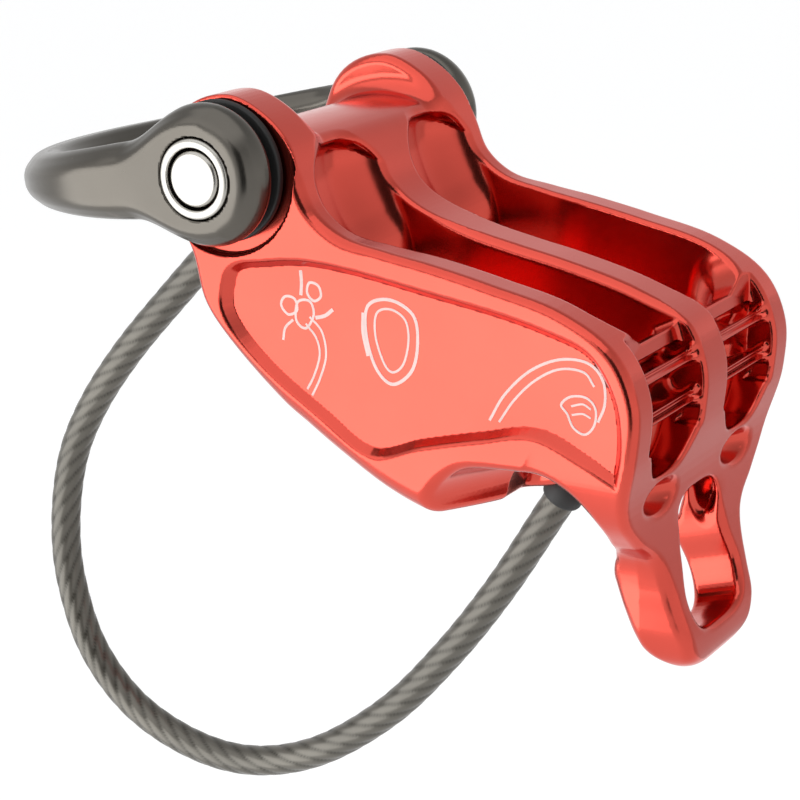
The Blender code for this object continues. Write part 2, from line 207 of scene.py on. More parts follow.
# Marks on the side panels (x, z): whether the line is closed, its width, its points
MARK_HEIGHT = 0.015                     # above the panel
MARK_STEP = 0.003                       # between one line and the next, so that crossings don't flicker
MARK_ROOT = 0.1
MARK_HALF = 0.36                        # half width of a line, as a share of the width given
MARKS = [
    (False, 0.55, [(9.3, -9.7), (9.4, -11.0), (9.3, -12.4)]),
    (True, 0.4, [(10.4, -10.9), (11.5, -11.1), (11.8, -12.2), (10.9, -12.8), (10.1, -12.0)]),
    (True, 0.4, [(7.3, -12.8), (8.5, -12.9), (8.8, -14.1), (7.7, -14.7), (6.8, -13.8)]),
    (True, 0.4, [(8.9, -13.2), (10.4, -12.9), (10.9, -14.3), (9.9, -15.9), (8.7, -15.2)]),
    (False, 0.55, [(11.1, -14.6), (12.3, -14.2), (13.3, -13.4)]),
    (False, 0.4, [(8.3, -15.2), (7.3, -16.2), (7.0, -17.6)]),
    (False, 0.35, [(10.4, -14.6), (11.9, -16.0), (12.4, -18.5), (11.6, -21.2), (10.6, -23.2)]),
    (False, 0.35, [(9.9, -15.4), (11.2, -16.8), (11.6, -18.6), (10.9, -20.9), (10.0, -22.6)]),
    (True, 0.5, [(17.6, -12.4), (20.2, -11.4), (23.0, -12.6), (23.6, -15.4), (22.9, -18.6), (20.6, -20.4),
                 (18.6, -19.0), (17.4, -15.6)]),
    (True, 0.35, [(18.7, -13.0), (20.4, -12.4), (22.1, -13.3), (22.5, -15.4), (21.9, -18.0), (20.6, -19.1),
                  (19.5, -18.2), (18.5, -15.4)]),
    (False, 0.5, [(17.6, -17.8), (17.0, -15.4), (17.0, -13.2)]),
    (False, 0.4, [(32.1, -22.4), (33.8, -19.4), (36.6, -16.5), (39.9, -14.8), (43.0, -14.7), (44.7, -16.2),
                  (45.0, -18.6), (44.3, -20.6)]),
    (False, 0.35, [(33.2, -22.4), (34.9, -19.8), (37.2, -17.4), (39.9, -15.8), (42.6, -15.7), (43.8, -17.0)]),
    (True, 0.35, [(40.2, -19.4), (41.3, -18.4), (43.0, -18.3), (44.0, -19.3), (43.9, -21.0), (42.9, -22.1),
                  (41.6, -21.6), (40.9, -20.3)]),
    (False, 0.3, [(41.3, -19.4), (42.6, -19.0), (43.5, -19.4)]),
    (False, 0.3, [(41.4, -20.3), (42.6, -20.0), (43.5, -20.3)]),
]


# ---------------------------------------------------------------- distance fields

def flat_loop(corners, steps=7):
    """Points of a closed smooth curve through the corners; one marked "c" is kept sharp."""
    places = np.array([corner[:2] for corner in corners], float)
    sharp = [len(corner) == 3 for corner in corners]
    spans = np.roll(places, -1, axis=0) - places
    lengths = np.linalg.norm(spans, axis=1)[:, None]
    ways = spans / lengths
    turns = ways + np.roll(ways, 1, axis=0)
    turns /= np.linalg.norm(turns, axis=1)[:, None]
    t = np.linspace(0, 1, steps, endpoint=False)[:, None]
    points = []
    for i in range(len(corners)):
        j = (i + 1) % len(corners)
        leave = spans[i] if sharp[i] else turns[i] * lengths[i]
        arrive = spans[i] if sharp[j] else turns[j] * lengths[i]
        points.append((2 * t**3 - 3 * t**2 + 1) * places[i] + (t**3 - 2 * t**2 + t) * leave
                      + (3 * t**2 - 2 * t**3) * places[j] + (t**3 - t**2) * arrive)
    return np.concatenate(points)


class Outline:
    """Signed distance to a closed flat outline, inside negative, read off a fine table of a window."""

    STEP = 0.2

    def __init__(self, corners, low, high):
        self.low = np.array(low, float)
        counts = [int((b - a) / self.STEP) + 2 for a, b in zip(low, high)]
        u = (self.low[0] + self.STEP * np.arange(counts[0]))[:, None]
        v = (self.low[1] + self.STEP * np.arange(counts[1]))[None, :]
        loop = flat_loop(corners)
        nearest = np.full(counts, 1e9)
        inside = np.zeros(counts, bool)
        for (u0, v0), (u1, v1) in zip(loop, np.roll(loop, -1, axis=0)):
            du, dv = u1 - u0, v1 - v0
            share = np.clip(((u - u0) * du + (v - v0) * dv) / (du * du + dv * dv + 1e-12), 0, 1)
            nearest = np.minimum(nearest, (u - u0 - share * du) ** 2 + (v - v0 - share * dv) ** 2)
            if v0 != v1:
                inside ^= ((v0 > v) != (v1 > v)) & (u < u0 + (v - v0) * du / dv)
        self.table = np.where(inside, -1, 1) * np.sqrt(nearest)

    def __call__(self, u, v):
        s = np.clip((u - self.low[0]) / self.STEP, 0, self.table.shape[0] - 1.001)
        t = np.clip((v - self.low[1]) / self.STEP, 0, self.table.shape[1] - 1.001)
        i, j = s.astype(int), t.astype(int)
        s, t = s - i, t - j
        near = self.table[i, j] * (1 - t) + self.table[i, j + 1] * t
        far = self.table[i + 1, j] * (1 - t) + self.table[i + 1, j + 1] * t
        return near * (1 - s) + far * s


def both(a, b, radius):
    """What two fields share, with the edge between them rounded."""
    corner = np.hypot(np.maximum(a + radius, 0), np.maximum(b + radius, 0))
    return np.minimum(np.maximum(a, b), -radius) + corner


def either(a, b, radius):
    """Two fields joined, with a fillet between them."""
    return -both(-a, -b, radius)


def ramp(value, start, end):
    """0 before start and 1 after end, with a smooth climb between them."""
    t = np.clip((value - start) / (end - start), 0, 1)
    return t * t * (3 - 2 * t)


def ellipsoid(x, y, z, centre, radii):
    """About the distance to an ellipsoid, right along its shortest radius."""
    scaled = sum(((u - c) / r) ** 2 for u, c, r in zip((x, y, z), centre, radii))
    return (np.sqrt(scaled) - 1) * min(radii)


def surface_net(values, low, cell):
    """One vertex in each cell that the zero surface crosses, and a quad round each edge that it cuts."""
    inside = values < 0
    corners = [tuple(slice(d, n - 1 + d) for d, n in zip(shift, inside.shape))
               for shift in np.ndindex(2, 2, 2)]
    count = sum(inside[corner].astype(np.int8) for corner in corners)
    cells = np.argwhere((count > 0) & (count < 8))
    index = np.full(count.shape, -1)
    index[tuple(cells.T)] = np.arange(len(cells))
    total = np.zeros((len(cells), 3))
    cuts = np.zeros(len(cells))
    quads = []
    for axis in range(3):
        one, two = (axis + 1) % 3, (axis + 2) % 3
        step = np.eye(3, dtype=int)
        for shift in (0 * step[one], step[one], step[two], step[one] + step[two]):
            start = cells + shift
            end = start + step[axis]
            a, b = values[tuple(start.T)], values[tuple(end.T)]
            cut = (a < 0) != (b < 0)
            place = start[cut].astype(float)
            place[:, axis] += a[cut] / (a[cut] - b[cut])
            total[cut] += place
            cuts[cut] += 1
        lower = inside[tuple(slice(0, -1) if k == axis else slice(1, -1) for k in range(3))]
        upper = inside[tuple(slice(1, None) if k == axis else slice(1, -1) for k in range(3))]
        edges = np.argwhere(lower != upper)
        out = lower[tuple(edges.T)]
        edges = edges + 1 - step[axis]
        ring = [edges, edges - step[one], edges - step[one] - step[two], edges - step[two]]
        quad = np.stack([index[tuple(e.T)] for e in ring], axis=1)
        quads.append(np.where(out[:, None], quad, quad[:, ::-1]))
    return low + cell * total / cuts[:, None], np.concatenate(quads)


def mirrored(points, quads):
    """Joins the half that was made, with its one row of cells past y = 0, to its mirror image."""
    across = points[:, 1] < 0
    place = {tuple(key): i for i, key in enumerate(np.round(points * 1000).astype(int).tolist())}
    twin = np.arange(len(points)) + len(points)
    for i in np.flatnonzero(across):
        x, y, z = np.round(points[i] * 1000).astype(int).tolist()
        near = [place.get((x + dx, -y + dy, z + dz))
                for dx in (0, -1, 1) for dy in (0, -1, 1) for dz in (0, -1, 1)]
        twin[i] = next(k for k in near if k is not None)
    own = quads[~across[quads].any(axis=1)]
    flipped = own[:, ::-1] + len(points)
    kept = np.where(across[quads], twin[quads] + len(points), quads)
    points = np.concatenate([points, points * (1, -1, 1)])
    quads = np.concatenate([kept, flipped])
    used, quads = np.unique(quads, return_inverse=True)
    return points[used], quads.reshape(-1, 4)


def relax(points, quads, field, nudge=0.08):
    """Evens the vertices out along the surface and settles them on it."""
    for _ in range(RELAX_ROUNDS):
        total = np.zeros_like(points)
        share = np.zeros(len(points))
        middle = points[quads].mean(axis=1)
        for k in range(4):
            for axis in range(3):
                total[:, axis] += np.bincount(quads[:, k], middle[:, axis], len(points))
            share += np.bincount(quads[:, k], minlength=len(points))
        points = points + 0.5 * (total / share[:, None] - points)
        for _ in range(2):
            value = field(*points.T)
            slope = np.stack([
                field(*(points + nudge * way).T) - field(*(points - nudge * way).T) for way in np.eye(3)
            ], axis=1) / (2 * nudge)
            steep = np.maximum((slope**2).sum(axis=1), 0.3)
            points = points - slope * (value / steep)[:, None]
    return points


def forge(name, field, low, high, cell, faces):
    """The mesh of a piece that is symmetric about y = 0, from its low (x, z) and its high (x, y, z)."""
    low = np.array([low[0], -cell, low[1]], float)
    counts = [int((h - a) / cell) + 2 for a, h in zip(low, high)]
    x, y, z = (a + cell * np.arange(n) for a, n in zip(low, counts))
    values = field(x[:, None, None], y[None, :, None], z[None, None, :])
    points, quads = surface_net(values, low, cell)
    points, quads = mirrored(points, quads)
    points = relax(points, quads, field)
    mesh = bpy.data.meshes.new(name)
    mesh.from_pydata((points * MM).tolist(), [], quads.tolist())
    obj = add_piece(name, mesh)
    triangles = 2 * len(mesh.polygons)
    if triangles > faces:
        thin = obj.modifiers.new("thin", "DECIMATE")
        thin.ratio = faces / triangles
        bake_modifiers(obj)
    obj.data.shade_smooth()
    obj.data.normals_split_custom_set(face_corner_ways(obj.data, field).tolist())
    return obj


def face_corner_ways(mesh, field, inward=0.2, nudge=0.06):
    """The field's slope near each face corner, a little inside the face, so flat faces stay flat."""
    count = len(mesh.loops)
    points = np.empty(3 * len(mesh.vertices), np.float32)
    mesh.vertices.foreach_get("co", points)
    points = points.reshape(-1, 3).astype(float) / MM
    index = np.empty(count, np.int32)
    mesh.loops.foreach_get("vertex_index", index)
    sizes = np.empty(len(mesh.polygons), np.int32)
    mesh.polygons.foreach_get("loop_total", sizes)
    middle = np.empty(3 * len(mesh.polygons), np.float32)
    mesh.polygons.foreach_get("center", middle)
    middle = np.repeat(middle.reshape(-1, 3).astype(float) / MM, sizes, axis=0)
    places = points[index] * (1 - inward) + middle * inward
    slope = np.stack([
        field(*(places + nudge * way).T) - field(*(places - nudge * way).T) for way in np.eye(3)
    ], axis=1)
    return slope / np.maximum(np.linalg.norm(slope, axis=1), 1e-9)[:, None]


# ---------------------------------------------------------------- meshes

def add_piece(name, mesh):
    obj = bpy.data.objects.new(name, mesh)
    bpy.context.scene.collection.objects.link(obj)
    return obj


def bake_modifiers(obj):
    bpy.context.view_layer.update()
    evaluated = obj.evaluated_get(bpy.context.evaluated_depsgraph_get())
    mesh = bpy.data.meshes.new_from_object(evaluated)
    obj.modifiers.clear()
    obj.data = mesh


def turn_outward(mesh):
    """Turns every face of a closed mesh outward."""
    shape = bmesh.new()
    shape.from_mesh(mesh)
    bmesh.ops.recalc_face_normals(shape, faces=shape.faces)
    shape.to_mesh(mesh)
    shape.free()


def heading(degrees):
    """The direction in the middle plane, counted from +X towards +Z."""
    return np.array([math.cos(math.radians(degrees)), 0.0, math.sin(math.radians(degrees))])


def mouth(point):
    """A point (x, z) of the middle plane in space."""
    return np.array([point[0], 0.0, point[1]])


# ---------------------------------------------------------------- forged pieces

def body_field():
    """The forged body: the side outline, less its slots, saddle, arch, pockets, seats, bores and eye."""
    side = {name: Outline(corners, *SIDE_WINDOW) for name, corners in {
        "body": BODY_OUTLINE, "arch": ARCH_OUTLINE, "slot": SLOT_OUTLINE,
        "saddle": SADDLE_OUTLINE, "pocket": POCKET_OUTLINE,
    }.items()}
    front = {name: Outline(corners, *FRONT_WINDOW) for name, corners in {
        "front": FRONT_OUTLINE, "channel": CHANNEL_OUTLINE, "eye": EYE_OUTLINE,
    }.items()}

    def field(x, y, z):
        # Plates, rounder round the heel, with the nose narrowed in front and behind
        a = np.abs(y)
        heel = ramp(-z, 14, 24) * (1 - ramp(x, 28, 34))
        nose = ramp(-z, 32, 38) * ramp(x, 36, 40)
        taper = 0.16 * np.maximum(x - NOSE_BREAK, 0) + 0.12 * np.maximum(NOSE_BREAK - x, 0)
        facet = a + taper * ramp(-z, 34, 40)
        width = np.maximum(a - BODY_HALF, front["front"](facet, z) - 6 * (1 - ramp(x, 25, 38)))
        base = ramp(x, 7, 10) * (1 - ramp(x, 14, 20))
        solid = both(side["body"](x, z), width, 1.1 + 2.4 * heel + 0.3 * nose + 0.3 * base)

        # Arch between heel and nose, flared outward, with the web left standing
        flare = 0.42 * np.maximum(a - 9, 0) * (1 - ramp(x, 28, 37))
        solid = both(solid, -both(side["arch"](x + flare, z), WEB_HALF - a, 1.5), 1.1)

        # Rope slots and the channel under their teeth
        scoop = ramp(x, 31, 41) * (1 - ramp(x, 45.1, 45.8)) * ramp(a, 8, 12)
        corner = 5.8 - 5.1 * ramp(x, 8, 20) + 5.0 * scoop
        outer = SLOT_OUTER + 0.9 * (1 - ramp(x, 14, 26))
        slot = both(side["slot"](x, z), np.maximum(a - outer, SLOT_INNER - a), corner)
        channel = both(front["channel"](a, z), NOSE_FACE - x, 1.2)
        solid = both(solid, -either(slot, channel, 0.2), 0.6)
        solid = both(solid, -ellipsoid(x, a, z, *NOSE_HOLLOW), 0.5)
        solid = both(solid, -both(side["saddle"](x, z), a - SADDLE_HALF, 2.2), 1.2)

        # Nose eye, which slants, and the vault over it
        slant = z - (x - EYE_PIVOT) * EYE_SLANT
        eye = both(front["eye"](a, slant), EYE_FACE - x, 1.5)
        solid = both(solid, -eye, 1.0)
        solid = both(solid, -ellipsoid(x, a, z, *EYE_VAULT), 0.7)

        # Side panels, bail seats, rivet bores and cable bores
        pocket = np.maximum(side["pocket"](x, z) + (BODY_HALF - a) * 0.8, POCKET_FLOOR - a)
        solid = both(solid, -pocket, 0.35)
        axis = np.hypot(x, z)
        solid = both(solid, -both(axis - SEAT_RADIUS, EAR_FACE - a, SEAT_EDGE), 0.3)
        solid = np.maximum(solid, -np.maximum(axis - RIVET_BORE, RIVET_DEPTH - a))
        for place, way in ((REAR_MOUTH, REAR_HEADING), (FRONT_MOUTH, FRONT_HEADING)):
            out = heading(way)
            along = (x - place[0]) * out[0] + (z - place[1]) * out[2]
            aside = np.hypot((x - place[0]) * out[2] - (z - place[1]) * out[0], y)
            solid = both(solid, -np.maximum(aside - BORE_RADIUS, np.abs(along) - BORE_LENGTH), 0.4)
        return solid

    return field


def make_body():
    return forge("forged_body", body_field(), (-10.0, -53.5), (53.5, 21.0, 10.0), CELL, BODY_FACES)


def bail_field():
    """The link in its own frame, with the arms along -X: a U in plan, rounded all round, and two bosses."""

    def field(x, y, z):
        # u along the arms and w across them, in a plan of two arcs: a circle outside, an ellipse inside
        a = np.abs(y)
        u = x * math.cos(BAIL_DROOP) + z * math.sin(BAIL_DROOP)
        w = z * math.cos(BAIL_DROOP) - x * math.sin(BAIL_DROOP)
        behind = np.minimum(u - BAIL_BEND, 0)
        inner_x = BAIL_HALF - CROSSBAR
        outer = np.hypot(behind, a) - BAIL_HALF
        scale = np.hypot(behind / inner_x, a / BAIL_INNER)
        inner = (scale - 1) * (inner_x + (BAIL_INNER - inner_x) * np.clip(a / BAIL_INNER, 0, 1))
        axis = np.hypot(u, w)
        height = np.abs(w) - ARM_HEIGHT / 2 - 0.3 + 1.4 * ramp(-u, 6, 32)
        profile = either(np.maximum(height, u), axis - BOSS_RADIUS, 3.0)

        # Chamfers along the arms' outer and inner edges, then the bush's bore and its ring's seat
        link = both(both(outer, -inner, 1.2), profile, 0.5)
        link = both(link, (outer + profile) * CHAMFER + 1.25, 0.6)
        link = both(link, (profile - inner) * CHAMFER + 0.6 + 0.5 * ramp(-u, 8, 14), 0.5)
        link = np.maximum(link, BUSH_RADIUS + GAP - axis)
        floor = BAIL_HALF + RING_PROUD - RING_THICK - GAP
        return both(link, -np.maximum(axis - RING_RADIUS - 0.12, floor - a), 0.15)

    return field


def make_bail():
    return forge("bail_link", bail_field(), (-38.0, -13.5), (9.0, 26.0, 9.5), CELL * 1.1, BAIL_FACES)


# ---------------------------------------------------------------- pivots, cable and marks


def turned(name, profile, matrix, steps=96):
    """Spins a closed profile (radius, height) about Z, with each of its corners rounded a little."""
    mesh = bpy.data.meshes.new(name)
    points = [(r * MM, 0.0, z * MM) for r, z in profile]
    edges = [(i, (i + 1) % len(points)) for i in range(len(points))]
    mesh.from_pydata(points, edges, [])
    obj = add_piece(name, mesh)
    screw = obj.modifiers.new("turn", "SCREW")
    screw.steps = steps
    screw.render_steps = steps
    screw.use_merge_vertices = True
    screw.merge_threshold = 0.00001
    screw.use_smooth_shade = True
    edge = obj.modifiers.new("edges", "BEVEL")
    edge.width = 0.12 * MM
    edge.segments = 3
    edge.limit_method = "ANGLE"
    edge.angle_limit = math.radians(30)
    obj.matrix_world = matrix
    bake_modifiers(obj)
    obj.data.shade_smooth()
    obj.data.set_sharp_from_angle(angle=math.radians(40))
    return obj


def make_pivot(side, word):
    """The rivet with its peened head, the flanged bush round it and the washer behind the boss."""
    axis = Matrix.Rotation(math.radians(-90 * side), 4, "X")
    top = BAIL_HALF + RING_PROUD
    under_head = top - HEAD_THICK
    rivet = turned(f"{word}_rivet", [
        (0, top + 0.04), (HEAD_RADIUS * 0.55, top + 0.02), (HEAD_RADIUS - 0.3, top - 0.03),
        (HEAD_RADIUS, top - 0.28), (HEAD_RADIUS, under_head),
        (SHANK_RADIUS, under_head), (SHANK_RADIUS, SHANK_END), (0, SHANK_END),
    ], axis)
    bore = HEAD_RADIUS + GAP
    bush = turned(f"{word}_bush", [
        (bore, top - 0.12), (bore + 0.12, top), (RING_RADIUS - 0.4, top), (RING_RADIUS - 0.1, top - 0.12),
        (RING_RADIUS, top - 0.35), (RING_RADIUS, top - RING_THICK),
        (BUSH_RADIUS, top - RING_THICK), (BUSH_RADIUS, BAIL_INNER), (bore, BAIL_INNER),
    ], axis)
    base = EAR_FACE + GAP
    washer = turned(f"{word}_washer", [
        (WASHER_RADIUS - 0.15, base + WASHER_THICK), (WASHER_RADIUS, base + WASHER_THICK - 0.15),
        (WASHER_RADIUS, base + 0.15), (WASHER_RADIUS - 0.15, base), (bore, base), (bore, base + WASHER_THICK),
    ], axis)
    return rivet, bush, washer


def spline(knots, closed=False, steps=24):
    """Dense points along a smooth curve through all of the knots."""
    knots = [np.array(knot, float) for knot in knots]
    if closed:
        padded = [knots[-1], *knots, knots[0], knots[1]]
    else:
        padded = [2 * knots[0] - knots[1], *knots, 2 * knots[-1] - knots[-2]]
    t = np.linspace(0, 1, steps, endpoint=False)[:, None]
    dense = [
        0.5 * (2 * b + (c - a) * t + (2 * a - 5 * b + 4 * c - d) * t**2 + (3 * b - a - 3 * c + d) * t**3)
        for a, b, c, d in zip(padded, padded[1:], padded[2:], padded[3:])
    ]
    return np.concatenate(dense if closed else [*dense, knots[-1][None, :]])


def cable_line():
    """Even points along a smooth curve through the route and a little way into both bores."""
    seat = BORE_LENGTH - FERRULE_LENGTH - 2 * GAP
    start = mouth(REAR_MOUTH) - heading(REAR_HEADING) * seat
    end = mouth(FRONT_MOUTH) - heading(FRONT_HEADING) * seat
    lead_in = mouth(REAR_MOUTH) + heading(REAR_HEADING) * CABLE_LEAD
    lead_out = mouth(FRONT_MOUTH) + heading(FRONT_HEADING) * CABLE_LEAD
    knots = [start, lead_in, *[mouth(p) for p in CABLE_ROUTE], lead_out, end]
    dense = spline(knots)
    along = np.concatenate([[0], np.cumsum(np.linalg.norm(np.diff(dense, axis=0), axis=1))])
    at = np.linspace(0, along[-1], round(along[-1] / CABLE_ROW) + 1)
    return np.stack([np.interp(at, along, dense[:, k]) for k in range(3)], axis=1), at


def make_cable():
    """Laid strands under a thin clear sheath, which leaves shallow grooves that wind round the cable; the
    grooves also mask painted shade in the wire's finish.
    """
    line, at = cable_line()
    ways = np.gradient(line, axis=0)
    ways /= np.linalg.norm(ways, axis=1)[:, None]
    normals = np.stack([-ways[:, 2], 0 * at, ways[:, 0]], axis=1)
    angle = np.linspace(0, 2 * math.pi, CABLE_SIDES, endpoint=False)
    phase = STRANDS * (angle[None, :] + 2 * math.pi * at[:, None] / LAY_LENGTH)
    groove = (0.5 - 0.5 * np.abs(np.sin(phase / 2))) ** 2 * 4
    radius = CABLE_RADIUS - GROOVE_DEPTH * groove
    ring = (np.cos(angle)[None, :, None] * normals[:, None, :]
            + np.sin(angle)[None, :, None] * np.array([0.0, 1.0, 0.0]))
    points = (line[:, None, :] + radius[:, :, None] * ring).reshape(-1, 3)
    rows = len(line)
    base = np.arange(rows - 1)[:, None] * CABLE_SIDES
    k = np.arange(CABLE_SIDES)[None, :]
    follow = (k + 1) % CABLE_SIDES
    after = base + CABLE_SIDES
    quads = np.stack([base + k, base + follow, after + follow, after + k], axis=2)
    faces = quads.reshape(-1, 4).tolist()
    faces.append(list(range(CABLE_SIDES))[::-1])
    faces.append([(rows - 1) * CABLE_SIDES + i for i in range(CABLE_SIDES)])
    mesh = bpy.data.meshes.new("sheathed_cable")
    mesh.from_pydata((points * MM).tolist(), [], faces)
    # The groove attribute also masks the painted shade in the grooves between strands
    mesh.attributes.new("groove", "FLOAT", "POINT").data.foreach_set("value", groove.ravel())
    turn_outward(mesh)
    mesh.shade_smooth()
    return add_piece("sheathed_cable", mesh), line * MM, at[-1] * MM


def make_ends():
    """The crimped ferrule inside each bore and the black collar that the cable runs through."""
    pieces = []
    for word, place, way in (("rear", REAR_MOUTH, REAR_HEADING), ("front", FRONT_MOUTH, FRONT_HEADING)):
        out = heading(way)
        turn = Vector(out).to_track_quat("Z", "Y").to_matrix().to_4x4()
        base = Matrix.Translation(Vector(mouth(place) * MM)) @ turn
        low = -(BORE_LENGTH - GAP)
        high = low + FERRULE_LENGTH
        ferrule = turned(f"{word}_ferrule", [
            (0, high), (FERRULE_RADIUS - 0.3, high), (FERRULE_RADIUS, high - 0.3),
            (FERRULE_RADIUS, low + 2.3), (FERRULE_RADIUS - 0.2, low + 2.0), (FERRULE_RADIUS - 0.2, low + 1.5),
            (FERRULE_RADIUS, low + 1.2), (FERRULE_RADIUS, low + 0.3), (FERRULE_RADIUS - 0.3, low), (0, low),
        ], base, END_STEPS)
        low = COLLAR_CLEAR
        high = low + COLLAR_LENGTH
        bore = CABLE_RADIUS + GAP / 2
        collar = turned(f"{word}_collar", [
            (bore, high), (COLLAR_RADIUS - 0.15, high), (COLLAR_RADIUS, high - 0.4),
            (COLLAR_RADIUS, low + 0.2), (COLLAR_RADIUS - 0.1, low), (bore, low),
        ], base, END_STEPS)
        pieces += [ferrule, collar]
    return pieces


def make_marks():
    """Plain drawings on both side panels: a knotted rope, a ring, and a bent rope with a hand."""
    vertices, faces = [], []
    for side in (-1, 1):
        for order, (closed, width, knots) in enumerate(MARKS):
            top = MARK_HEIGHT + MARK_STEP * order
            line = spline(knots, closed, 8)
            if closed:
                way = np.roll(line, -1, axis=0) - np.roll(line, 1, axis=0)
            else:
                way = np.gradient(line, axis=0)
            way /= np.linalg.norm(way, axis=1)[:, None]
            across = np.stack([-way[:, 1], way[:, 0]], axis=1) * width * MARK_HALF
            first, count = len(vertices), len(line)
            for place, reach in zip(line, across):
                for edge, height in ((1, top), (-1, top), (-1, -MARK_ROOT), (1, -MARK_ROOT)):
                    u, v = place + edge * reach
                    vertices.append((u * MM, side * (POCKET_FLOOR + height) * MM, v * MM))
            for i in range(count if closed else count - 1):
                here, then = first + 4 * i, first + 4 * ((i + 1) % count)
                faces += [(here + k, here + (k + 1) % 4, then + (k + 1) % 4, then + k) for k in range(4)]
            if not closed:
                last = first + 4 * (count - 1)
                faces += [(first, first + 3, first + 2, first + 1), (last, last + 1, last + 2, last + 3)]
    mesh = bpy.data.meshes.new("panel_marks")
    mesh.from_pydata(vertices, [], faces)
    turn_outward(mesh)
    return add_piece("panel_marks", mesh)


# ---------------------------------------------------------------- materials

def blank_material(name):
    """A new material and its shader node."""
    made = bpy.data.materials.new(name)
    made.use_nodes = True
    return made, made.node_tree.nodes["Principled BSDF"]


def material(name, color, roughness, metallic, spread, bump=0.04, edge_glint=0.0, coat=0.0, groove=None):
    """A finish with cloudy colour, fine grain in its gloss and surface, a painted highlight on its sharp
    edges, and painted shade in the grooves where a groove colour is given.
    """
    made, shader = blank_material(name)
    nodes, links = made.node_tree.nodes, made.node_tree.links
    shader.inputs["Metallic"].default_value = metallic
    shader.inputs["Coat Weight"].default_value = coat
    shader.inputs["Coat Roughness"].default_value = COAT_ROUGHNESS
    place = nodes.new("ShaderNodeTexCoord")
    clouds = nodes.new("ShaderNodeTexNoise")
    clouds.inputs["Scale"].default_value = CLOUD_SCALE
    clouds.inputs["Detail"].default_value = 4.0
    links.new(place.outputs["Object"], clouds.inputs["Vector"])
    tone = nodes.new("ShaderNodeValToRGB")
    tone.color_ramp.elements[0].color = (*[c * (1 - spread) for c in color], 1)
    tone.color_ramp.elements[0].position = 0.35
    tone.color_ramp.elements[1].color = (*[min(c * (1 + spread), 1) for c in color], 1)
    tone.color_ramp.elements[1].position = 0.65
    links.new(clouds.outputs["Fac"], tone.inputs["Fac"])
    surface = tone.outputs["Color"]
    # Painted shade: the grooves between the cable's strands are darkened towards the groove colour
    if groove:
        lines = nodes.new("ShaderNodeAttribute")
        lines.attribute_name = "groove"
        dark = nodes.new("ShaderNodeMix")
        dark.data_type = "RGBA"
        dark.inputs["B"].default_value = (*groove, 1)
        links.new(lines.outputs["Fac"], dark.inputs["Factor"])
        links.new(surface, dark.inputs["A"])
        surface = dark.outputs["Result"]
    # Painted highlight: pointiness mixes a pale pink onto the sharp convex edges, standing in for light
    # caught by the rims
    if edge_glint:
        shape = nodes.new("ShaderNodeNewGeometry")
        rim = nodes.new("ShaderNodeMapRange")
        rim.inputs["From Min"].default_value, rim.inputs["From Max"].default_value = EDGE_GLINT_RANGE
        rim.inputs["To Max"].default_value = edge_glint
        links.new(shape.outputs["Pointiness"], rim.inputs["Value"])
        glint = nodes.new("ShaderNodeMix")
        glint.data_type = "RGBA"
        glint.inputs["B"].default_value = (*EDGE_GLINT_COLOR, 1)
        links.new(rim.outputs["Result"], glint.inputs["Factor"])
        links.new(surface, glint.inputs["A"])
        surface = glint.outputs["Result"]
    links.new(surface, shader.inputs["Base Color"])
    fine = nodes.new("ShaderNodeTexNoise")
    fine.inputs["Scale"].default_value = GRAIN_SCALE
    fine.inputs["Detail"].default_value = 3.0
    links.new(place.outputs["Object"], fine.inputs["Vector"])
    gloss = nodes.new("ShaderNodeMapRange")
    gloss.inputs["To Min"].default_value = roughness * 0.8
    gloss.inputs["To Max"].default_value = roughness * 1.2
    links.new(fine.outputs["Fac"], gloss.inputs["Value"])
    links.new(gloss.outputs["Result"], shader.inputs["Roughness"])
    relief = nodes.new("ShaderNodeBump")
    relief.inputs["Strength"].default_value = bump
    relief.inputs["Distance"].default_value = GRAIN_HEIGHT * MM
    links.new(fine.outputs["Fac"], relief.inputs["Height"])
    links.new(relief.outputs["Normal"], shader.inputs["Normal"])
    return made


# ---------------------------------------------------------------- stage

def make_camera():
    data = bpy.data.cameras.new("camera")
    data.lens = CAMERA_LENS
    data.sensor_width = CAMERA_SENSOR
    data.clip_start = CAMERA_NEAR
    camera = bpy.data.objects.new("camera", data)
    bpy.context.scene.collection.objects.link(camera)
    camera.location = Vector(CAMERA_PLACE) * MM
    camera.rotation_euler = (math.radians(90 - CAMERA_ELEVATION), 0, math.radians(CAMERA_AZIMUTH))
    bpy.context.scene.camera = camera


def card(name, size, azimuth, elevation, distance, color, watts):
    """A card facing the object. With watts it is a light; without, a flag that only shows in reflections."""
    a, e = math.radians(azimuth), math.radians(elevation)
    back = Vector((math.sin(a) * math.cos(e), -math.cos(a) * math.cos(e), math.sin(e)))
    place = Vector(CARD_AIM) + back * distance
    turn = back.to_track_quat("Z", "Y").to_matrix().to_4x4()
    if watts:
        light = bpy.data.lights.new(name, "AREA")
        light.shape = "RECTANGLE"
        light.size, light.size_y = size
        light.energy = watts
        light.color = color
        obj = bpy.data.objects.new(name, light)
        bpy.context.scene.collection.objects.link(obj)
    else:
        mesh = bpy.data.meshes.new(name)
        w, h = size[0] / 2, size[1] / 2
        mesh.from_pydata([(-w, -h, 0), (w, -h, 0), (w, h, 0), (-w, h, 0)], [], [(0, 1, 2, 3)])
        obj = add_piece(name, mesh)
        finish, shader = blank_material(name)
        shader.inputs["Base Color"].default_value = (*color, 1)
        shader.inputs["Roughness"].default_value = 0.9
        mesh.materials.append(finish)
        obj.visible_camera = False
        obj.visible_shadow = False
    obj.matrix_world = Matrix.Translation(place) @ turn


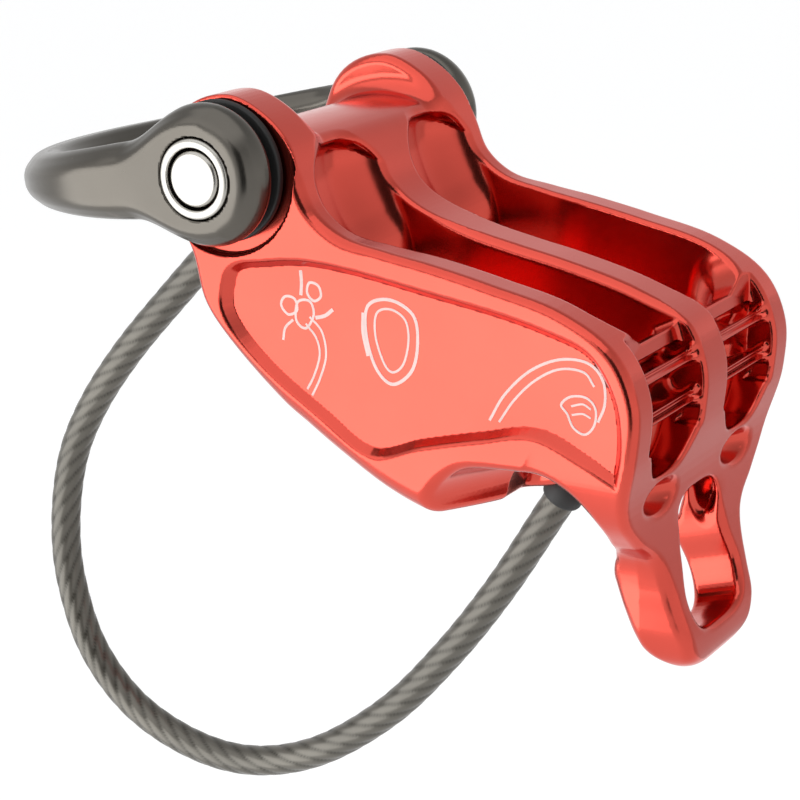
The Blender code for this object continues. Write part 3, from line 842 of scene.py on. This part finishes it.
def make_floor():
    mesh = bpy.data.meshes.new("floor")
    shape = bmesh.new()
    bmesh.ops.create_grid(shape, x_segments=1, y_segments=1, size=FLOOR_HALF)
    shape.to_mesh(mesh)
    shape.free()
    floor = add_piece("floor", mesh)
    floor.location.z = FLOOR_LEVEL * MM
    finish, shader = blank_material("pale_floor")
    shader.inputs["Base Color"].default_value = (FLOOR_GREY, FLOOR_GREY, FLOOR_GREY, 1)
    shader.inputs["Roughness"].default_value = 0.8
    shader.inputs["Emission Color"].default_value = (1, 1, 1, 1)
    shader.inputs["Emission Strength"].default_value = FLOOR_GLOW
    mesh.materials.append(finish)


def make_stage():
    """The floor, the world, and the lights and flags round the object."""
    make_floor()
    world = bpy.data.worlds.new("studio")
    bpy.context.scene.world = world
    world.use_nodes = True
    nodes, links = world.node_tree.nodes, world.node_tree.links
    place = nodes.new("ShaderNodeTexCoord")
    height = nodes.new("ShaderNodeSeparateXYZ")
    sky = nodes.new("ShaderNodeValToRGB")
    links.new(place.outputs["Generated"], height.inputs["Vector"])
    links.new(height.outputs["Z"], sky.inputs["Fac"])
    links.new(sky.outputs["Color"], nodes["Background"].inputs["Color"])
    first, last = sky.color_ramp.elements
    first.position, first.color = 0.0, (*SKY_LOW, 1)
    last.position, last.color = SKY_HIGH_AT, (*SKY_HIGH, 1)
    nodes["Background"].inputs["Strength"].default_value = WORLD_STRENGTH
    for entry in CARDS:
        card(*entry)
    bpy.context.scene.view_settings.view_transform = "Standard"


def dress(piece, body, nodes, finish):
    """The piece stands for its CAD nodes, rides on their body and takes its finish."""
    piece.data.materials.clear()
    piece.data.materials.append(finish)
    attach(piece, body)
    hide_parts(*nodes)


def main():
    make_camera()
    # The red and grey finishes get a painted highlight on their sharp edges
    red = material("red_anodised", (0.6, 0.078, 0.056), 0.19, 1.0, spread=0.04, edge_glint=0.06)
    grey = material("grey_anodised", (0.112, 0.103, 0.09), 0.25, 1.0, spread=0.05, edge_glint=0.05)
    steel = material("polished_steel", (0.42, 0.405, 0.375), 0.26, 1.0, spread=0.03)
    plastic = material("black_plastic", (0.006, 0.006, 0.006), 0.6, 0.0, spread=0.2, bump=0.1)
    # The wire's groove colour is painted shade in the grooves between its strands
    wire = material("sheathed_wire", (0.11, 0.102, 0.086), 0.36, 0.6, spread=0.1, coat=0.2,
                    groove=(0.03, 0.027, 0.02))
    alloy = material("crimp_alloy", (0.55, 0.55, 0.56), 0.35, 1.0, spread=0.06)

    cable, path, length = make_cable()
    dress(cable, "frame", ["keeper_cable"], wire)
    ends = make_ends()
    for piece, node, slot, finish in zip(
        ends,
        ("rear_cable_ferrule", "rear_cable_collar", "front_cable_ferrule", "front_cable_collar"),
        ("crimp_alloy", "black_plastic") * 2,
        (alloy, plastic) * 2,
    ):
        dress(piece, "frame", [node], finish)

    dress(make_body(), "frame", ["body"], red)
    dress(make_bail(), "bail", ["pivot_bail"], grey)
    for side, word in ((-1, "near"), (1, "far")):
        rivet, bush, washer = make_pivot(side, word)
        dress(rivet, "frame", [f"{word}_pivot_rivet"], steel)
        dress(bush, "frame", [f"{word}_flanged_bush"], steel)
        dress(washer, "frame", [f"{word}_thrust_washer"], plastic)
    marks = make_marks()
    marks.data.materials.append(material("laser_mark", (0.55, 0.42, 0.4), 0.55, 0.5, spread=0.03))
    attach(marks, "frame")
    make_stage()


main()
